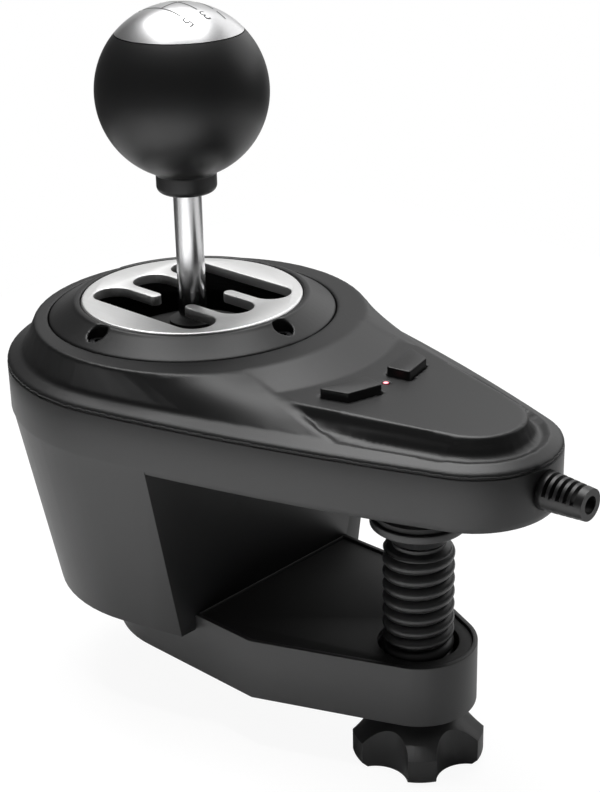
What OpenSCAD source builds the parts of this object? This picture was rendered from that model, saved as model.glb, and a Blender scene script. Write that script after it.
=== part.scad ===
// Gear shifter for racing games, with an H-pattern gate and a screw clamp for a desk.
// Each module works in the lever's frame: the gate plate's top is at height 0, the lever
// stands at x = 0 and the tail points along +X, away from the driver.
// place() then moves a piece into the part's frame, whose origin lies on the clamp's upper
// jaw, straight above the clamp screw.

/* [Housing] */
// Radius of the round end, around the lever
round_r = 55; // [53:0.5:60]
// Distance from the lever to the centre of the tail's end
tail_x = 103.2; // [100:0.2:112]
// Radius of the tail's end
tail_r = 23.8; // [23:0.2:28]
// Radius of the long side curves
side_r = 700; // [500:10:1500]
// Wall of the plastic shells
wall = 2.5; // [2:0.1:3]
// Depth of the joint between the two shells, below the gate
seam_depth = 16.1; // [15.8:0.1:18]
// Height of the lower shell's band
band_h = 16.4; // [15:0.1:22]
// Rounding of the band's lower edge
band_fillet = 3; // [1:0.5:4]
// Width of the sloped shoulder on the top shell
shoulder_w = 4.4; // [3:0.2:6]
// Height of the sloped shoulder
shoulder_h = 2.7; // [2:0.1:3.4]
// Radius of the dome's flat crown
crown_r = 48.5; // [46:0.5:50]
// Distance from the lever to the crown's centre
crown_x = 3.3; // [2:0.1:5]
// Depth of the crown below the gate
crown_depth = 4.4; // [4:0.1:5]
// Radius at which the crown's front slope meets the button panel
slope_r = 60; // [58:0.5:61]
// Direction of the wing's root on the crown, in degrees off the tail
wing_angle = 30.6; // [26:0.2:34]
// Distance from the lever to the wing's tip
wing_tip_x = 82; // [76:0.5:86]

/* [Button panel] */
// Depth of the panel below the gate, measured at the lever
panel_depth = 6.4; // [6.2:0.1:7]
// Fall of the panel towards the tail, in degrees
panel_slope = 1.4; // [1:0.1:2]
// Radius of the panel's front end
panel_front_r = 33; // [31:0.5:35]
// Distance from the lever to the centre of the panel's front end
panel_front_x = 36; // [32:0.5:40]
// Radius of the panel's tail end
panel_tail_r = 14.2; // [12:0.2:16]
// Height of the buttons above the panel
button_h = 2.4; // [1.6:0.1:3]
// Travel of the buttons
button_travel = 0.8; // [0.4:0.1:1]
// Distance from the lever to the front edge of the buttons
button_x = 77.6; // [76:0.2:79]
// Depth of a button from back to front
button_d = 6.8; // [5.5:0.1:7.5]
// Width of a button
button_w = 14.4; // [11:0.1:15]
// Distance of a button's inner edge from the middle
button_inner = 4.2; // [3.4:0.1:5]
// Radius of the light between the buttons
led_r = 0.9; // [0.8:0.1:1.6]

/* [Gate] */
// Radius of the gate plate
plate_r = 32.5; // [32:0.1:33]
// Thickness of the gate plate
plate_t = 3; // [2:0.1:3.5]
// Width of the gate's slots
slot_w = 11.8; // [11:0.1:12.6]
// Outer radius of the bezel
bezel_r = 42; // [41:0.1:43]
// Radius of the circle that the bezel's screws lie on
bezel_screw_r = 36.4; // [36:0.1:37]

/* [Lever] */
// Height of the lever's pivot above the leg's floor
pivot_rise = 19.8; // [19:0.1:21]
// Tilt across the gate to either side, in degrees
select_angle = 14.5; // [13.5:0.1:15]
// Tilt along the lanes either way, in degrees
shift_angle = 15.4; // [14.6:0.1:15.8]
// Diameter of the chromed shaft
shaft_d = 8.2; // [7:0.1:8.6]
// Diameter of the ball knob
knob_d = 48.2; // [44:0.2:52]
// Height of the ball's centre above the gate
knob_z = 59.8; // [56:0.2:66]
// Height of the cap's rim above the ball's centre
cap_rim = 16.4; // [15:0.1:18]
// Diameter of the collar under the ball
collar_d = 17.4; // [15:0.1:20]
// Height of the collar's lower end above the gate
collar_z = 31; // [28:0.2:34]

/* [Clamp] */
// Distance from the lever to the leg's clamping wall
throat_x = 30; // [28.5:0.1:31]
// Radius of the leg's lower edge
leg_r = 44.5; // [43.5:0.1:48]
// Depth of the arm's top below the gate
arm_depth = 82.3; // [81:0.1:84]
// How far the leg's lower edge reaches below the arm's top
leg_skirt = 4.7; // [3.8:0.1:6]
// Thickness of the arm
arm_t = 18.7; // [16:0.1:22]
// Half width of the arm's root
arm_root_w = 32.5; // [31:0.1:33]
// Distance from the lever to the corner where the arm starts to taper
arm_corner_x = 51.5; // [48:0.1:56]
// Radius of the arm's tip
arm_tip_r = 16.6; // [16:0.1:18]
// Distance from the lever to the clamp screw
screw_x = 85.9; // [82:0.1:90]
// Diameter of the clamp screw over its thread
screw_d = 20; // [18:0.1:20.4]
// Diameter of the pressure pad
pad_d = 27; // [24:0.2:30]
// Depth of the pressure pad's face below the gate
pad_depth = 42; // [41.5:0.1:46]
// Radius of the star knob
star_r = 18.8; // [18:0.1:21]
// Height of the star knob
star_h = 14; // [12:0.1:16]
// Number of lobes on the star knob
star_lobes = 5; // [4:1:6]
// Thickness of the jaw's rubber that shows below the housing
jaw_proud = 1; // [0.6:0.1:1.5]

/* [Cord outlet] */
// Depth of the cord outlet's axis below the gate
outlet_depth = 23; // [22.5:0.1:24]
// Diameter of the strain relief at the housing
relief_d = 10.6; // [9:0.1:11.2]
// Diameter of the strain relief at its mouth
relief_tip_d = 8.6; // [7.4:0.1:9]
// Length of the strain relief outside the housing
relief_len = 13; // [10:0.2:20]
// Diameter of the cord's bore
cord_d = 4.8; // [4:0.1:5]

/* [Hidden] */
$fn = 64;
// Gap between pieces that move past each other
slide_gap = 0.3;
// Gap between pieces that are fastened together
seat_gap = 0.05;
// Radial play of a pin in its bearing
pin_play = 0.05;
// Radial play of the clamp screw in its nut
screw_play = 0.08;
// A cut's overshoot past a face
over = 0.1;

// Levels, measured down from the gate
crease_depth = seam_depth - shoulder_h;
under_depth = seam_depth + band_h;
jaw_depth = under_depth + jaw_proud;
arm_bottom = arm_depth + arm_t;
floor_top = arm_depth - wall;
pivot_depth = floor_top - pivot_rise;
leg_depth = arm_depth + leg_skirt;
tail_floor = under_depth - wall;
// Height and depth of the groove along the seam
seam_groove = 0.45;
// Width of the narrow ledge along the crease
crease_ledge = 0.3;
// How much wider the hollow curve beside the panel is at the wings than at the tail
cove_spread = 5.2;
// Depth to which the slope between the wings is let into the crown
crown_cut = 1;
// Step in from the band to the leg's cone
leg_step = 0.25;

// Bezel and gate
bezel_depth = 8;
bezel_rim = crown_depth + 0.2;
bezel_lip = 2.2;
plate_gap = 0.3;
plate_seat = 3;
ledge_t = 3;
ledge_r = bezel_screw_r - 5;
lane_pitch = pivot_depth * tan(select_angle);
finger_w = lane_pitch - slot_w;
plate_edge = 0.5;

// Fasteners
m3_r = 1.4;
m3_head_r = 2.5;
m3_head_h = 1.7;
pocket_r = m3_head_r + 0.4;
post_r = 3.2;
arm_screw_grip = 5;

// Lever mechanism
pin_r = 2.5;
hub_w = 13;
hub_d = 13;
hub_top = 9;
hub_bottom = 8;
stem_r = 4.5;
ring_h = 9;
ring_wall = 4.5;
ring_in_x = 10;
ring_in_y = hub_w / 2 + slide_gap + 1.2;
ring_out_x = ring_in_x + ring_wall;
ring_out_y = ring_in_y + ring_wall;
cheek_t = 4.5;
cheek_w = 16;
cheek_in = ring_out_x + slide_gap;
cheek_out = cheek_in + cheek_t;
cheek_top = 7;
frame_t = 2.5;
frame_w = 36;
frame_x = cheek_out + 5;
bowl_floor = 1.3;
bowl_r = pivot_rise - frame_t - bowl_floor;
stem_len = bowl_r - 5;
bowl_block_r = 11;
bowl_rim = bowl_r - 2.6;
plunger_r = 2.3;
plunger_len = 4.5;
sensor_t = 7;
sensor_w = 12;
sleeve_r = shaft_d / 2 + 2;
sleeve_down = 8;
sleeve_up = 12;
dust_r = pivot_depth - 8.5;
dust_t = 1.5;
dust_angle = 27;
dust_collar_r = 7;
dust_collar_h = 2.4;

// Springs, each one unbroken wire
coil_steps = 10;
coil_sides = 6;
detent_coil_r = 1.6;
detent_wire = 0.25;
detent_turns = 4;
detent_coil_len = 5;
centring_r = 1.9;
centring_wire = 0.3;
centring_turns = 7;
centring_x = ring_in_x + ring_wall / 3;
centring_y = ring_in_y + ring_wall / 2;

// Boards
board_t = 1.2;
button_board_depth = seam_depth - 0.7;
main_board_depth = tail_floor - 4;
main_board_x = [50, 100];
main_board_w = 28;
chip_w = 8;
chip_t = 1;
header_d = 5;
header_w = 12;
header_h = 4;
switch_w = 6;
switch_h = 1.1;

// Clamp
nut_r = 13.4;
nut_t = 12;
hole_r = 11.4;
insert_t = 1.6;
insert_sunk = 0.8;
insert_edge = 1.4;
neck_r = 7.4;
neck_len = 2.7;
pad_t = 2.5;
pad_rubber_t = 1.5;
pad_cone = 4.9;
tip_pin_r = 5;
tip_pin_len = 3;
screw_top = pad_depth + pad_rubber_t + pad_t + pad_cone + neck_len;
star_neck_r = 11;
star_gap = 4;
star_top = arm_bottom + star_gap;
star_scallop_r = 9;
star_scallop_x = star_r + 3.2;
star_view = -46.5;
screw_socket = 9;

// Moves a piece from the lever's frame into the part's frame
module place() {
  translate([-screw_x, 0, jaw_depth])
    children();
}

// Puts a copy on each side of the middle plane
module both_sides() {
  children();
  mirror([0, 1, 0])
    children();
}

// Outline of the housing: two end arcs joined by long side arcs that touch both
side_a = side_r - round_r;
side_b = side_r - tail_r;
side_cx = (side_a * side_a - side_b * side_b + tail_x * tail_x) / (2 * tail_x);
side_cy = sqrt(side_a * side_a - side_cx * side_cx);
touch_a = atan2(side_cy, -side_cx);
touch_b = atan2(side_cy, tail_x - side_cx);

function arc(c, r, from, to, n) =
  [for (i = [0 : n - 1]) c + r * [cos(from + (to - from) * i / n), sin(from + (to - from) * i / n)]];

function outline(inset, steps = 48) = concat(
  arc([0, 0], round_r - inset, touch_a, 360 - touch_a, steps),
  arc([side_cx, side_cy], side_r - inset, 360 - touch_a, 360 - touch_b, 10),
  arc([tail_x, 0], tail_r - inset, -touch_b, touch_b, 24),
  arc([side_cx, -side_cy], side_r - inset, touch_b, touch_a, 10));

// Half width of the outline at a distance from the lever, ahead of the round end's middle
function outline_y(x, inset) = x < (round_r - inset) * cos(touch_a)
  ? sqrt(pow(round_r - inset, 2) - x * x)
  : sqrt(pow(side_r - inset, 2) - pow(x - side_cx, 2)) - side_cy;

// Solid through a stack of outlines, each given as [inset, height], from the lowest up
module outline_loft(stack, steps = 48) {
  n = len(outline(0, steps));
  m = len(stack);
  points = [for (s = stack) for (p = outline(s[0], steps)) [p[0], p[1], s[1]]];
  sides = [for (k = [0 : m - 2]) for (i = [0 : n - 1])
    let (j = (i + 1) % n)
    each [[k * n + i, k * n + n + i, k * n + n + j], [k * n + i, k * n + n + j, k * n + j]]];
  bottom = [[for (i = [0 : n - 1]) i]];
  top = [[for (i = [n - 1 : -1 : 0]) (m - 1) * n + i]];
  polyhedron(points, concat(sides, bottom, top));
}

// Straight block with the housing's outline between two depths
module outline_block(inset, top, bottom) {
  translate([0, 0, -bottom])
    linear_extrude(bottom - top)
      polygon(outline(inset));
}

// Everything on the panel's slope, drawn flat at the panel's own surface
module on_panel() {
  translate([0, 0, -panel_depth])
    rotate([0, panel_slope, 0])
      children();
}

function panel_at(x) = panel_depth + x * tan(panel_slope);

module panel_outline(inset = 0) {
  hull() {
    translate([panel_front_x, 0])
      circle(panel_front_r - inset, $fn = 96);
    translate([tail_x, 0])
      circle(panel_tail_r - inset, $fn = 48);
  }
}

wing_root = [crown_x, 0] + crown_r * [cos(wing_angle), sin(wing_angle)];
wing_tip = [wing_tip_x, outline_y(wing_tip_x, shoulder_w + crease_ledge)];

// Plan of the space between the two wings, which the panel and its slope fill
module between_wings() {
  wing = wing_tip - wing_root;
  near = wing_root - wing / 2;
  far = wing_tip + 4 * wing;
  linear_extrude(2 * seam_depth, center = true)
    polygon([near, far, [far[0], -far[1]], [near[0], -near[1]]]);
}

housing_posts = [[46, 31, crease_depth], [tail_x + 4, 11, panel_at(tail_x + 4) + wall / 2]];
board_posts = [[84.5, 9]];
main_posts = [for (x = main_board_x) for (y = [-1, 1])
  [x + (x == main_board_x[0] ? 4 : -4), y * (main_board_w / 2 - 4)]];
arm_screw_places = [[-8, 22], [20, 22]];
frame_screw_places = [[0, frame_w / 2 - 4]];

// Foot of the dome below a direction on the crown: the round end behind, the long side ahead
function dome_foot(a, inset) = a >= 90
  ? (round_r - inset) * [cos(a), sin(a)]
  : let (x = wing_tip_x * (90 - a) / (90 - wing_angle)) [x, outline_y(x, inset)];

// Dome and wings: straight rulings from the crown's edge down to the crease, and a skirt below
module dome() {
  steps = 26;
  arcs = 12;
  inset = shoulder_w + crease_ledge;
  half = [for (i = [0 : steps]) wing_angle + (180 - wing_angle) * i / steps];
  turns = concat(half, [for (i = [steps - 1 : -1 : 0]) 360 - half[i]]);
  crown = [for (a = turns) [crown_x, 0] + crown_r * [cos(a), sin(a)]];
  foot = [for (a = turns) let (f = dome_foot(min(a, 360 - a), inset)) [f[0], a > 180 ? -f[1] : f[1]]];
  front = [for (i = [0 : arcs])
    let (a = -wing_angle + 2 * wing_angle * i / arcs)
      [crown_x, 0] + (crown_r - crown_cut) * [cos(a), sin(a)]];
  low = -crease_depth - 1;
  points = concat([for (p = crown) [p[0], p[1], -crown_depth]], [for (p = foot) [p[0], p[1], -crease_depth]],
    [for (p = foot) [p[0], p[1], low]], [for (p = front) [p[0], p[1], -crown_depth]],
    [for (p = front) [p[0], p[1], low]],
    [[wing_root[0], -wing_root[1], low], [wing_root[0], wing_root[1], low]]);
  // Where each row of points starts
  n = len(turns);
  k = len(front);
  high = 3 * n;
  deep = high + k;
  near = deep + k;
  far = near + 1;
  slope = [for (i = [0 : n - 2]) each [[i, i + 1, n + i + 1], [i, n + i + 1, n + i]]];
  skirt = [for (i = [n : 2 * n - 2]) [i, i + 1, n + i + 1, n + i]];
  walls = [for (i = [high : high + k - 2]) [i, i + 1, k + i + 1, k + i]];
  wings = [[2 * n - 1, n - 1, near, 3 * n - 1], [n - 1, high, deep, near],
    [high + k - 1, 0, far, deep + k - 1], [0, n, 2 * n, far]];
  top = [concat([for (i = [high + k - 1 : -1 : high]) i], [for (i = [n - 1 : -1 : 0]) i])];
  bottom = [concat([for (i = [2 * n : 3 * n - 1]) i], [near], [for (i = [deep : deep + k - 1]) i], [far])];
  polyhedron(points, concat(slope, skirt, walls, wings, top, bottom));
}

// Slope from the crown's front down into the panel
module front_slope() {
  top = crown_depth + over;
  foot = panel_at(crown_x + slope_r);
  slope_top = crown_r - crease_ledge;
  run = (slope_r - slope_top) / (foot - top);
  sunk = 0.3;
  intersection() {
    translate([crown_x, 0, -foot - sunk])
      cylinder(r1 = slope_r + sunk * run, r2 = slope_top, h = foot + sunk - top, $fn = 96);
    between_wings();
  }
}

// Ring round the panel: its two end arcs grown outwards, and points along the sides between them
function panel_ring(front, tail) =
  let (lean = acos((panel_front_r - panel_tail_r) / (tail_x - panel_front_x)), arcs = 14, sides = 8,
    fore = [for (i = [0 : arcs]) let (a = lean + (360 - 2 * lean) * i / arcs)
      [panel_front_x, 0] + (panel_front_r + front) * [cos(a), sin(a)]],
    aft = [for (i = [0 : arcs]) let (a = -lean + 2 * lean * i / arcs)
      [tail_x, 0] + (panel_tail_r + tail) * [cos(a), sin(a)]],
    near = [for (i = [1 : sides - 1]) fore[arcs] + (aft[0] - fore[arcs]) * i / sides],
    far = [for (i = [1 : sides - 1]) aft[arcs] + (fore[0] - aft[arcs]) * i / sides],
    ring = concat(fore, near, aft, far), n = len(ring))
  [for (i = [0 : n - 1]) ring[(i + arcs / 2) % n]];

// Panel with a hollow curve from its edge down to the crease
module panel_block() {
  foot_r = tail_r - shoulder_w - 2 * crease_ledge - panel_tail_r;
  foot_side = foot_r + cove_spread;
  cove = [[0, 0], [0.16, 0.5], [0.45, 0.82], [1, 1]];
  rings = [for (c = cove) panel_ring(foot_side * c[0], foot_r * c[0])];
  n = len(rings[0]);
  m = len(cove);
  points = concat([for (k = [0 : m - 1]) for (p = rings[k])
      let (top = panel_at(p[0])) [p[0], p[1], -top - (crease_depth + over - top) * cove[k][1]]],
    [for (p = rings[m - 1]) [p[0], p[1], -crease_depth - 1]]);
  sides = [for (k = [0 : m - 1]) for (i = [0 : n - 1])
    let (j = (i + 1) % n)
    each [[k * n + i, k * n + j, k * n + n + j], [k * n + i, k * n + n + j, k * n + n + i]]];
  ends = [for (i = [1 : n - 2]) each [[0, i + 1, i], [m * n, m * n + i, m * n + i + 1]]];
  intersection() {
    polyhedron(points, concat(sides, ends));
    between_wings();
  }
}

// Plan of one button, with its rounded corners
module button_plan(grow = 0) {
  corner = 0.6;
  back = button_x - button_d;
  outer = button_inner + button_w;
  hull()
    for (p = [[back + corner, button_inner + corner], [button_x - corner, button_inner + 3 * corner],
              [button_x - 5 * corner, outer - 5 * corner], [back - 5 * corner, outer - corner]])
      translate(p)
        circle(corner + grow, $fn = 24);
}

module top_shell() {
  color([0.09, 0.09, 0.1])
    place()
      difference() {
        union() {
          difference() {
            union() {
              outline_loft([[0, -seam_depth], [0, -seam_depth + shoulder_h * 0.2],
                [shoulder_w * 0.2, -seam_depth + shoulder_h * 0.45], [shoulder_w, -crease_depth]]);
              dome();
              front_slope();
              panel_block();
            }
            // Hollow under the shoulder, the dome and the panel
            outline_loft([[wall, -seam_depth - over], [wall, -seam_depth],
              [shoulder_w + wall, -crease_depth - wall * 0.8]]);
            translate([0, 0, -seam_depth - over])
              cylinder(r = round_r - shoulder_w - 2 * wall, h = seam_depth + over - bezel_depth - ledge_t);
            intersection() {
              on_panel()
                translate([0, 0, -seam_depth - wall])
                  linear_extrude(seam_depth)
                    panel_outline(wall);
              translate([0, -round_r, -seam_depth - over])
                cube([2 * tail_x, 2 * round_r, seam_depth]);
            }
          }
          // Posts for the housing's screws and for the button board
          both_sides() {
            for (p = housing_posts)
              translate([p[0], p[1], -seam_depth])
                cylinder(r = post_r, h = seam_depth - p[2]);
            for (p = board_posts)
              translate([p[0], p[1], -button_board_depth])
                cylinder(r = post_r, h = button_board_depth - panel_at(p[0]) - wall / 2);
          }
        }
        // Seat and opening for the bezel
        translate([0, 0, -bezel_depth])
          cylinder(r = bezel_r + slide_gap, h = bezel_depth, $fn = 128);
        translate([0, 0, -seam_depth])
          cylinder(r = ledge_r, h = seam_depth);
        for (a = [0 : 90 : 270])
          rotate(a)
            translate([bezel_screw_r, 0, -bezel_depth - ledge_t - over])
              cylinder(r = m3_r + seat_gap, h = ledge_t + 2 * over);
        // Openings for the buttons, the light and the screws
        both_sides() {
          translate([0, 0, -seam_depth])
            linear_extrude(seam_depth)
              button_plan(slide_gap);
          for (p = housing_posts)
            translate([p[0], p[1], -seam_depth - over])
              cylinder(r = m3_r + seat_gap, h = seam_depth + over - p[2] - wall / 4);
          for (p = board_posts)
            translate([p[0], p[1], -button_board_depth - over])
              cylinder(r = m3_r + seat_gap, h = button_board_depth - panel_at(p[0]) - wall / 2);
        }
        translate([button_x - button_d / 2, 0, -seam_depth])
          cylinder(r = led_r + seat_gap, h = seam_depth);
      }
}

// Leg: the housing's outline drawn in towards the foot, with its throat side cut flat
module leg_block(inset, top, bottom) {
  start = under_depth - band_fillet;
  draught = (round_r - leg_step - leg_r) / (leg_depth - start);
  intersection() {
    outline_loft([[inset + leg_step + draught * (bottom - start), -bottom],
      [inset + leg_step + draught * (top - start), -top]], 40);
    translate([-2 * round_r, -2 * round_r, -bottom - over])
      cube([2 * round_r + throat_x - inset, 4 * round_r, bottom - top + 2 * over]);
  }
}

module lower_shell() {
  color([0.1, 0.1, 0.11])
    place()
      difference() {
        union() {
          difference() {
            union() {
              outline_loft([[band_fillet, -under_depth],
                [band_fillet * 0.3, -under_depth + band_fillet * 0.3], [0, -under_depth + band_fillet],
                [0, -seam_depth - seam_groove - over], [seam_groove, -seam_depth - seam_groove],
                [seam_groove, -seam_depth - seat_gap]]);
              leg_block(0, under_depth - band_fillet, leg_depth);
            }
            outline_block(wall, seam_depth - over, tail_floor);
            leg_block(wall, under_depth - band_fillet - over, floor_top);
            leg_block(wall, arm_depth, leg_depth + over);
            // Notch that lets the arm out of the leg
            translate([0, 0, -leg_depth - over])
              linear_extrude(leg_depth + over - arm_depth)
                arm_plan(slide_gap);
          }
          both_sides()
            for (p = housing_posts)
              translate([p[0], p[1], -under_depth + wall / 2])
                cylinder(r = post_r, h = band_h - wall / 2 - seat_gap);
          for (p = main_posts)
            translate([p[0], p[1], -tail_floor - wall / 2])
              cylinder(r = post_r, h = tail_floor + wall / 2 - main_board_depth - board_t);
          both_sides()
            for (p = arm_screw_places)
              translate([p[0], p[1], -floor_top - wall / 2])
                cylinder(r = post_r, h = wall / 2 + 6);
        }
        both_sides() {
          for (p = housing_posts) {
            translate([p[0], p[1], -under_depth - over])
              cylinder(r = m3_r + seat_gap, h = band_h + 2 * over);
            translate([p[0], p[1], -under_depth - over])
              cylinder(r = pocket_r, h = m3_head_h + 2 * over);
          }
          for (p = arm_screw_places)
            translate([p[0], p[1], -arm_depth - over])
              cylinder(r = m3_r + seat_gap, h = wall + 5);
          for (p = frame_screw_places)
            translate([p[0], p[1], -arm_depth - over])
              cylinder(r = m3_r + seat_gap, h = 2 * wall);
        }
        for (p = main_posts)
          translate([p[0], p[1], -tail_floor])
            cylinder(r = m3_r + seat_gap, h = tail_floor - main_board_depth);
        // Outlet for the strain relief
        translate([tail_x, 0, -outlet_depth])
          rotate([0, 90, 0])
            cylinder(r = relief_d / 2 - 1.5 + seat_gap, h = tail_r + over);
      }
}

module gate_bezel() {
  color([0.08, 0.08, 0.09])
    place()
      difference() {
        rotate_extrude($fn = 128)
          polygon([[plate_r - plate_seat, -bezel_depth], [bezel_r, -bezel_depth], [bezel_r, -bezel_rim],
            [plate_r + plate_gap + bezel_lip, -0.5], [plate_r + plate_gap + bezel_lip - 0.6, 0],
            [plate_r + plate_gap, 0], [plate_r + plate_gap, -plate_t], [plate_r - plate_seat, -plate_t]]);
        for (a = [0 : 90 : 270])
          rotate(a)
            translate([bezel_screw_r, 0, 0]) {
              translate([0, 0, -bezel_rim - m3_head_h / 2])
                cylinder(r = pocket_r, h = bezel_depth);
              translate([0, 0, -bezel_depth - over])
                cylinder(r = m3_r + seat_gap, h = bezel_depth);
            }
      }
}

// Plan of the gate: three lanes joined by one cross slot, with round finger tips
module gate_plan() {
  lane_end = pivot_depth * tan(shift_angle) / cos(select_angle);
  for (k = [-1 : 1])
    translate([0, k * lane_pitch]) {
      square([2 * lane_end, slot_w], center = true);
      for (s = [-1, 1])
        translate([s * lane_end, 0])
          circle(slot_w / 2);
    }
  difference() {
    square([slot_w + finger_w, 2 * lane_pitch], center = true);
    for (sx = [-1, 1])
      for (sy = [-1, 1])
        translate([sx * (slot_w + finger_w) / 2, sy * lane_pitch / 2])
          circle(finger_w / 2);
  }
}

module gate_plate() {
  color([0.72, 0.72, 0.72])
    place()
      difference() {
        rotate_extrude($fn = 128)
          polygon([[0, -plate_t], [plate_r, -plate_t], [plate_r, -plate_edge],
            [plate_r - plate_edge, 0], [0, 0]]);
        translate([0, 0, -plate_t - over])
          linear_extrude(plate_t + 2 * over)
            gate_plan();
      }
}

// Pan-head screw, head at the top, with its seat at height 0
module screw(length) {
  difference() {
    union() {
      cylinder(r = m3_head_r, h = m3_head_h);
      translate([0, 0, -length])
        cylinder(r = m3_r, h = length);
    }
    translate([0, 0, m3_head_h * 0.45])
      cylinder(r = m3_head_r * 0.5, h = m3_head_h, $fn = 6);
  }
}

module bezel_screws() {
  color([0.2, 0.2, 0.21])
    place()
      for (a = [0 : 90 : 270])
        rotate(a)
          translate([bezel_screw_r, 0, -bezel_rim - m3_head_h / 2])
            screw(bezel_depth - bezel_rim + ledge_t - m3_head_h / 2);
}

module housing_screws() {
  color([0.2, 0.2, 0.21])
    place()
      both_sides()
        for (p = housing_posts)
          translate([p[0], p[1], -under_depth + m3_head_h + over])
            rotate([180, 0, 0])
              screw(band_h);
}

// Plan of the arm: round root inside the leg, straight sides, then a taper to the round tip
module arm_plan(grow = 0) {
  back_x = arm_root_w / 4;
  translate([back_x, 0])
    circle(arm_root_w + grow, $fn = 128);
  translate([back_x, -arm_root_w - grow])
    square([arm_corner_x - back_x, 2 * (arm_root_w + grow)]);
  hull() {
    translate([screw_x, 0])
      circle(arm_tip_r + grow, $fn = 96);
    translate([arm_corner_x - 1, -arm_root_w - grow])
      square([1, 2 * (arm_root_w + grow)]);
  }
}

module clamp_arm() {
  color([0.1, 0.1, 0.11])
    place()
      difference() {
        translate([0, 0, -arm_bottom])
          linear_extrude(arm_t)
            arm_plan();
        // Recess for the insert, and the screw's passage
        translate([0, 0, -arm_depth - insert_t - insert_sunk])
          linear_extrude(insert_t + insert_sunk + over)
            intersection() {
              arm_plan(-insert_edge);
              translate([throat_x + slide_gap, -2 * arm_root_w])
                square(4 * arm_root_w);
            }
        translate([screw_x, 0, -arm_bottom - over])
          cylinder(r = hole_r, h = arm_t + 2 * over);
        translate([screw_x, 0, -arm_bottom - over])
          cylinder(r = nut_r + seat_gap, h = nut_t + over);
        both_sides()
          for (p = arm_screw_places) {
            translate([p[0], p[1], -arm_bottom - over])
              cylinder(r = m3_r + seat_gap, h = arm_t + 2 * over);
            translate([p[0], p[1], -arm_bottom - over])
              cylinder(r = pocket_r, h = arm_t - arm_screw_grip);
          }
        both_sides()
          for (p = frame_screw_places)
            translate([p[0], p[1], -arm_depth - 5])
              cylinder(r = m3_r + seat_gap, h = 5 + over);
      }
}

module arm_insert() {
  color([0.05, 0.05, 0.055])
    place()
      difference() {
        translate([0, 0, -arm_depth - insert_t - insert_sunk])
          linear_extrude(insert_t)
            intersection() {
              arm_plan(-insert_edge - 2 * seat_gap);
              translate([throat_x + slide_gap + 2 * seat_gap, -2 * arm_root_w])
                square(4 * arm_root_w);
            }
        translate([screw_x, 0, -arm_bottom])
          cylinder(r = hole_r, h = arm_t);
      }
}

module arm_screws() {
  color([0.2, 0.2, 0.21])
    place()
      both_sides()
        for (p = arm_screw_places)
          translate([p[0], p[1], -arm_depth - arm_screw_grip - over])
            rotate([180, 0, 0])
              screw(2 * arm_screw_grip);
}

module clamp_nut() {
  color([0.45, 0.42, 0.36])
    place()
      translate([screw_x, 0, -arm_bottom])
        difference() {
          cylinder(r = nut_r, h = nut_t);
          translate([0, 0, -over])
            cylinder(r = screw_d / 2 + screw_play, h = nut_t + 2 * over);
        }
}

module jaw_rubber() {
  color([0.04, 0.04, 0.045])
    place()
      difference() {
        translate([0, 0, -jaw_depth])
          linear_extrude(jaw_proud)
            intersection() {
              polygon(outline(band_fillet + 3));
              translate([throat_x + 3, -round_r])
                square([2 * tail_x, 2 * round_r]);
            }
        both_sides()
          for (p = housing_posts)
            translate([p[0], p[1], -jaw_depth - over])
              cylinder(r = pocket_r, h = jaw_proud + 2 * over);
      }
}

module strain_relief() {
  ribs = 5;
  rib_pitch = (relief_len - 3) / ribs;
  slit = 0.8;
  neck_r = relief_d / 2 - 1.5;
  end_x = tail_x + tail_r;
  color([0.06, 0.06, 0.065])
    place()
      translate([end_x, 0, -outlet_depth])
        rotate([0, 90, 0])
          difference() {
            union() {
              translate([0, 0, seat_gap])
                cylinder(r1 = relief_d / 2, r2 = relief_tip_d / 2, h = relief_len);
              translate([0, 0, -wall - 0.8])
                cylinder(r = neck_r, h = wall + 2);
              translate([0, 0, -wall - 2.8])
                cylinder(r = relief_d / 2, h = 2);
            }
            translate([0, 0, -wall - 4])
              cylinder(r = cord_d / 2, h = relief_len + wall + 5);
            // Slits that let the relief bend, one above and one below in each ring
            for (k = [0 : ribs - 1])
              for (s = [-1, 1])
                translate([s * relief_d / 2, 0, 2 + k * rib_pitch + (s > 0 ? rib_pitch / 2 : 0)])
                  translate([-relief_d / 4 + 0.3, -relief_d / 2, 0])
                    cube([relief_d / 2 - 0.6, relief_d, slit]);
          }
}

module light_lens() {
  x = button_x - button_d / 2;
  color([0.9, 0.05, 0.05])
    place()
      translate([x, 0, -panel_at(x)]) {
        translate([0, 0, -wall - 1.2])
          cylinder(r = led_r, h = wall + 1.2);
        translate([0, 0, -wall - 1.2])
          cylinder(r = led_r + 0.7, h = 1);
      }
}

module main_board() {
  color([0.05, 0.25, 0.12])
    place()
      difference() {
        union() {
          translate([main_board_x[0], -main_board_w / 2, -main_board_depth - board_t])
            cube([main_board_x[1] - main_board_x[0], main_board_w, board_t]);
          // Processor, and the header for the cord
          translate([main_board_x[0] + 2 * chip_w, -chip_w / 2, -main_board_depth])
            cube([chip_w, chip_w, chip_t]);
          translate([main_board_x[1] - 2 * header_d, -header_w / 2, -main_board_depth])
            cube([header_d, header_w, header_h]);
        }
        for (p = main_posts)
          translate([p[0], p[1], -main_board_depth - board_t - over])
            cylinder(r = m3_r + seat_gap, h = board_t + 2 * over);
      }
}

module button_board() {
  back = button_x - button_d - 6;
  color([0.05, 0.25, 0.12])
    place()
      difference() {
        translate([back, -button_inner - button_w, -button_board_depth - board_t])
          cube([board_posts[0][0] + post_r + 1 - back, 2 * (button_inner + button_w), board_t]);
        both_sides()
          for (p = board_posts)
            translate([p[0], p[1], -button_board_depth - board_t - over])
              cylinder(r = m3_r + seat_gap, h = board_t + 2 * over);
      }
}

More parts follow.
